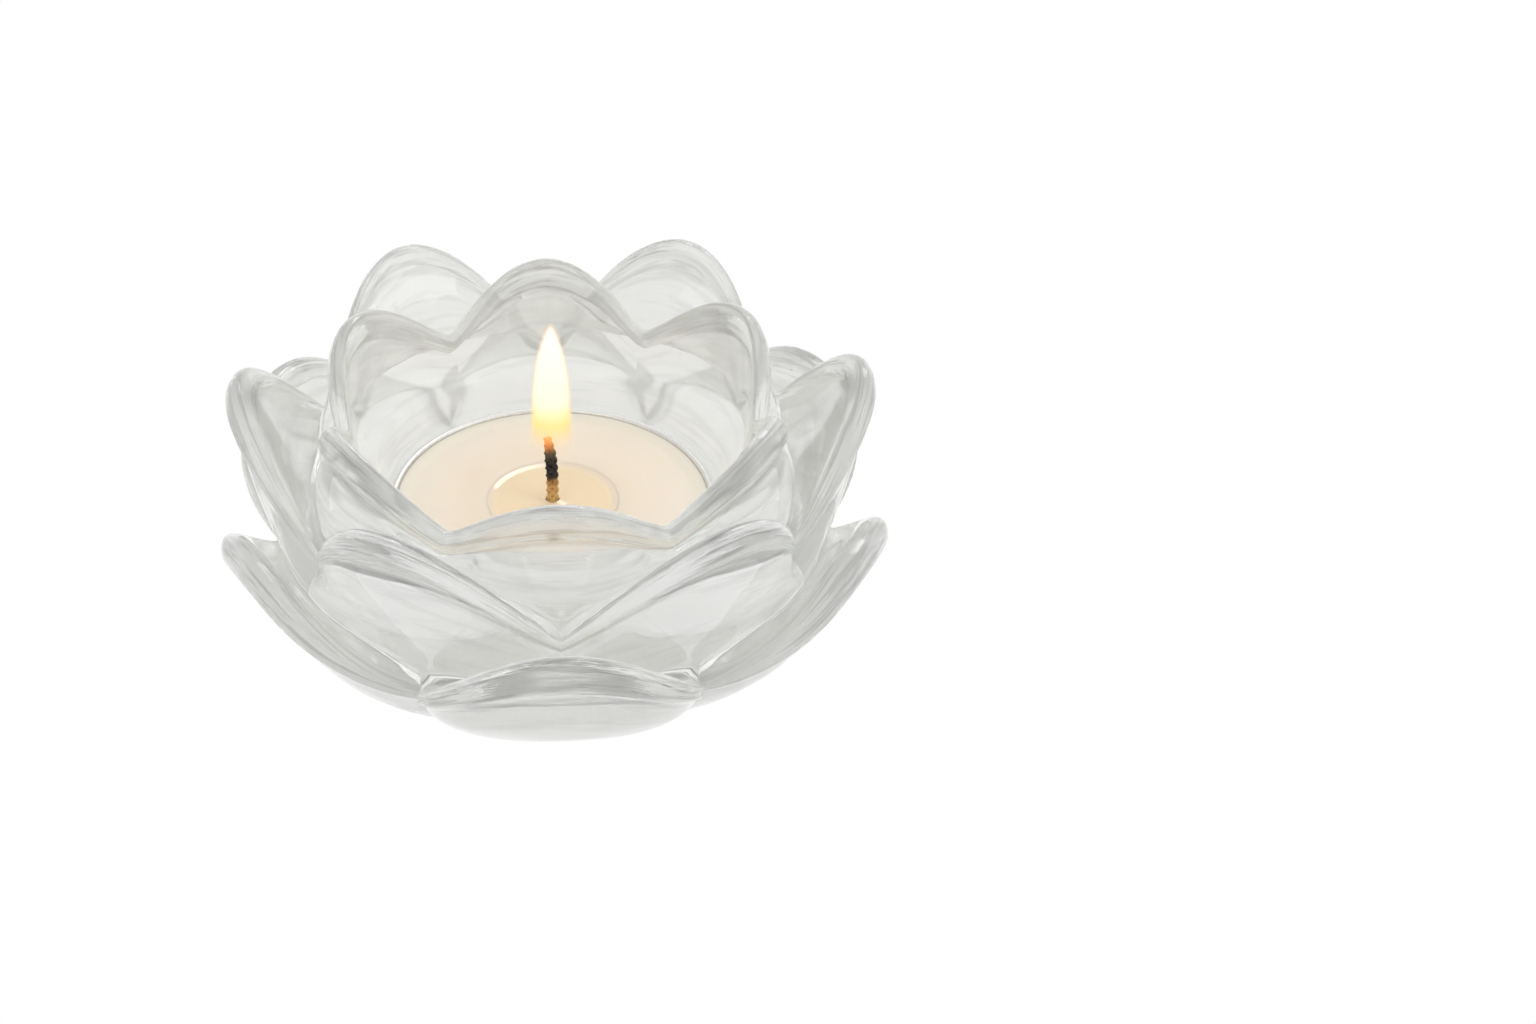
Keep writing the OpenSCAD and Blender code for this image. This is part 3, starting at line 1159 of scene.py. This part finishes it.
def wick_recipe(material):
    net = Recipe("braided wick", WICK_SIZES)
    strands = net.size("strands")
    points = net.size("points")
    line = net.node("GeometryNodeCurvePrimitiveLine")
    line = net.node("GeometryNodeResampleCurve", inputs={"Curve": line, "Count": points})
    spots = net.node("GeometryNodePoints", inputs={"Count": strands + 1.0})
    bundle = net.node("GeometryNodeInstanceOnPoints", inputs={"Points": spots, "Instance": line})
    bundle = net.node("GeometryNodeRealizeInstances", inputs={"Geometry": bundle})

    strand = net.floor((net.index() + 0.5) / points)
    share = (net.index() - strand * points) / (points - 1.0)
    is_core = net.math("GREATER_THAN", strand, strands - 0.5)
    way = 1.0 - 2.0 * net.math("GREATER_THAN", strand, strands * 0.5 - 0.5)
    quarter = strand * (4.0 * math.pi / strands)
    angle = way * share * (2.0 * math.pi * net.size("turns")) + quarter
    weave = net.size("weave") * way * net.math("COSINE", angle * (strands * 0.5))
    taper = 1.0 - net.size("tip loss") * net.ramp(share, net.size("tip start"), 1.0)
    radius = (net.size("braid radius") + weave) * taper * (1.0 - is_core)

    straight = net.size("bend height") - net.size("bottom")
    bend_length = net.size("bend radius") * net.size("bend angle")
    distance = share * (straight + bend_length)
    bent = net.math("MAXIMUM", distance - straight, 0.0) / net.size("bend radius")
    side = radius * net.math("COSINE", angle)
    across = net.size("bend radius") + side
    x = across * net.math("COSINE", bent) - net.size("bend radius")
    upright = net.math("MINIMUM", distance, straight)
    z = net.size("bottom") + upright + across * net.math("SINE", bent)
    y = radius * net.math("SINE", angle)
    bundle = net.moved(bundle, Position=net.joined(x, y, z))
    thread = mix(net.size("strand radius"), net.size("core radius"), is_core) * taper
    inputs = {"Resolution": 10, "Radius": 1.0}
    ring = net.node("GeometryNodeCurvePrimitiveCircle", inputs=inputs)
    inputs = {"Curve": bundle, "Profile Curve": ring, "Scale": thread, "Fill Caps": True}
    net.finish(net.node("GeometryNodeCurveToMesh", inputs=inputs), material)
    return net


# %% [markdown]
# Along its height the wick changes: soaked and amber where it stands in the molten wax, black
# and charred above, and glowing at the tip. One ramp over the height paints it, and a second
# gives the tip its own light.
# %% Wick material
WICK_STOPS = [
    (0.0, SOAKED),
    (0.30, screen(206, 160, 96)),
    (0.37, screen(120, 84, 50)),
    (0.42, CHAR),
    (0.78, CHAR),
    (0.86, screen(160, 78, 32)),
    (1.0, EMBER),
]
GLOW_STOPS = [(0.0, (0.0, 0.0, 0.0)), (0.78, (0.0, 0.0, 0.0)), (1.0, screen(250, 120, 40))]


def wick_material():
    material, net, place = piece_material("charred_cotton")
    _, _, z = net.split(place)
    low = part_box("melt_pool")[1].z
    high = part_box("wick")[1].z
    wander = noise_at(net, place, 1400.0)
    height = (z - low) / (high - low) + (wander - 0.5) * 0.16
    fibre = noise_at(net, net.scaled(place, (1.0, 1.0, 0.4)), 5200.0, 3.0, 0.7)
    inputs = {
        "Base Color": net.paint(WICK_STOPS, height),
        "Roughness": 0.62 + fibre * 0.3,
        "Emission Color": net.paint(GLOW_STOPS, height),
        "Emission Strength": 0.5,
        "Normal": bump(net, fibre, 0.06 * MM, 0.9),
    }
    finish_surface(net, inputs)
    return material


wick = grow("braided_wick", wick_recipe(wick_material()))
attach(wick, "candle")
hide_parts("wick")

# %% [markdown]
# The plate under the wick is stamped from tinned steel. Its CAD solid has the right shape, so
# only its material changes.
# %% Wick plate
def tin_material():
    material, net, place = piece_material("tinned_steel")
    cells = {"Vector": place, "Scale": 900.0}
    spangle = net.node("ShaderNodeTexVoronoi", inputs=cells, out="Distance")
    scuff = noise_at(net, place, 1800.0, 3.0, 0.7)
    inputs = {
        "Base Color": net.paint([(0.2, TIN), (0.9, TIN_DULL)], spangle * 0.6 + scuff * 0.4),
        "Metallic": 1.0,
        "Roughness": 0.3 + scuff * 0.25,
        "Normal": bump(net, scuff, 0.02 * MM, 0.4),
    }
    finish_surface(net, inputs)
    return material


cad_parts["wick_plate"].material_slots[0].material = tin_material()

# %% [markdown]
# ## Flame
# A flame is glowing gas, so a true one would be a volume. A volume doesn't survive export, so
# this flame is a set of thin glowing shells, one inside the other: each is partly see-through,
# the outer ones most, and together they fade softly at the edge and burn white in the middle.
# Near the wick all of them turn clear, as the dark zone of a real flame does.
# %% The flame recipe
SHOULDER = {"sharpness": 3.5, "fullness": 0.75}
BASE_SHARE = 0.13
SHELL_CROWDING = 0.008
SHELL_RISE = 0.35 * MM
SHELL_SHORTER = 2.6
FLAME_SIZES = {
    "shells": 7,
    "columns": 36,
    "rows": 44,
    "bottom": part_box("wick")[1].z - 5.6 * MM,
    "top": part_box("wick")[1].z + 19.4 * MM,
    "radius": 3.15 * MM,
    "spacing": 0.075,
    "lean": -0.25 * MM,
}


def flame_recipe(material):
    net = Recipe("flame shells", FLAME_SIZES)
    rows = net.size("rows")
    columns = net.size("columns")
    inputs = {"Vertices X": columns + 1.0, "Vertices Y": rows}
    sheet = net.node("GeometryNodeMeshGrid", inputs=inputs)
    spots = net.node("GeometryNodePoints", inputs={"Count": net.size("shells")})
    shells = net.node("GeometryNodeInstanceOnPoints", inputs={"Points": spots, "Instance": sheet})
    shells = net.node("GeometryNodeRealizeInstances", inputs={"Geometry": shells})

    per_shell = (columns + 1.0) * rows
    shell = net.floor((net.index() + 0.5) / per_shell)
    within = net.index() - shell * per_shell
    column = net.floor((within + 0.5) / rows)
    share = (within - column * rows) / (rows - 1.0)
    eased = (1.0 - net.math("COSINE", share * math.pi)) * 0.5
    taper = (1.0 - eased ** SHOULDER["sharpness"]) ** SHOULDER["fullness"]
    base = net.clamp(eased / BASE_SHARE)
    round_base = net.math("SQRT", base * (2.0 - base))
    inward = 1.0 - shell * net.size("spacing") - shell * shell * SHELL_CROWDING
    radius = net.size("radius") * taper * round_base * inward
    height = net.size("top") - net.size("bottom")
    rise = shell * SHELL_RISE
    z = net.size("bottom") + rise + eased * (height - SHELL_SHORTER * rise)
    azimuth = column * (2.0 * math.pi / columns)
    lean = net.size("lean") * (1.0 - eased) * eased
    x = radius * net.math("SINE", azimuth) + lean
    y = -radius * net.math("COSINE", azimuth)
    shells = net.moved(shells, Position=net.joined(x, y, z))
    net.finish(net.stored(shells, "shell", shell / (net.size("shells") - 1.0)), material)
    return net


# %% Flame material
FLAME_STOPS = [
    (0.0, screen(250, 196, 128)),
    (0.24, screen(252, 206, 124)),
    (0.36, screen(255, 222, 138)),
    (0.50, screen(255, 248, 218)),
    (1.0, screen(255, 254, 248)),
]
FLAME_EDGE = screen(255, 214, 148)


def flame_material():
    """Shell 0 is the outermost and 1 the innermost. Each turns clear towards its bottom."""
    material, net, place = piece_material("candle_flame")
    _, _, z = net.split(place)
    low = FLAME_SIZES["bottom"]
    high = FLAME_SIZES["top"]
    height = (z - low) / (high - low)
    shell = stored_number(net, "shell")
    edge = (1.0 - net.ramp(shell, 0.0, 0.22)) * 0.85
    inputs = {0: edge, 6: net.paint(FLAME_STOPS, height), 7: (*FLAME_EDGE, 1.0)}
    colour = net.node("ShaderNodeMix", {"data_type": "RGBA"}, inputs, out=2)
    lit = net.ramp(height, 0.08 + shell * 0.3, 0.38 + shell * 0.24)
    body = 0.14 + 0.86 * net.ramp(shell, 0.0, 0.5)
    inputs = {
        "Base Color": (0.0, 0.0, 0.0, 1.0),
        "Roughness": 1.0,
        "Specular IOR Level": 0.0,
        "Emission Color": colour,
        "Emission Strength": 1.25,
        "Alpha": lit * body,
    }
    finish_surface(net, inputs)
    return material


flame = grow("flame", flame_recipe(flame_material()))
flame.visible_shadow = False
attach(flame, "candle")

# %% The flame's light
FLAME_POWER = 0.0006
LIGHT_UP = 11 * MM


def add_flame_light():
    """A small warm lamp inside the flame, which moves with the candle."""
    data = bpy.data.lights.new("flame_light", "POINT")
    data.energy = FLAME_POWER
    data.color = screen(255, 205, 140)
    data.shadow_soft_size = 2 * MM
    lamp = placed("flame_light", data)
    lamp.location = (0, 0, FLAME_SIZES["bottom"] + LIGHT_UP)
    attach(lamp, "candle")


add_flame_light()
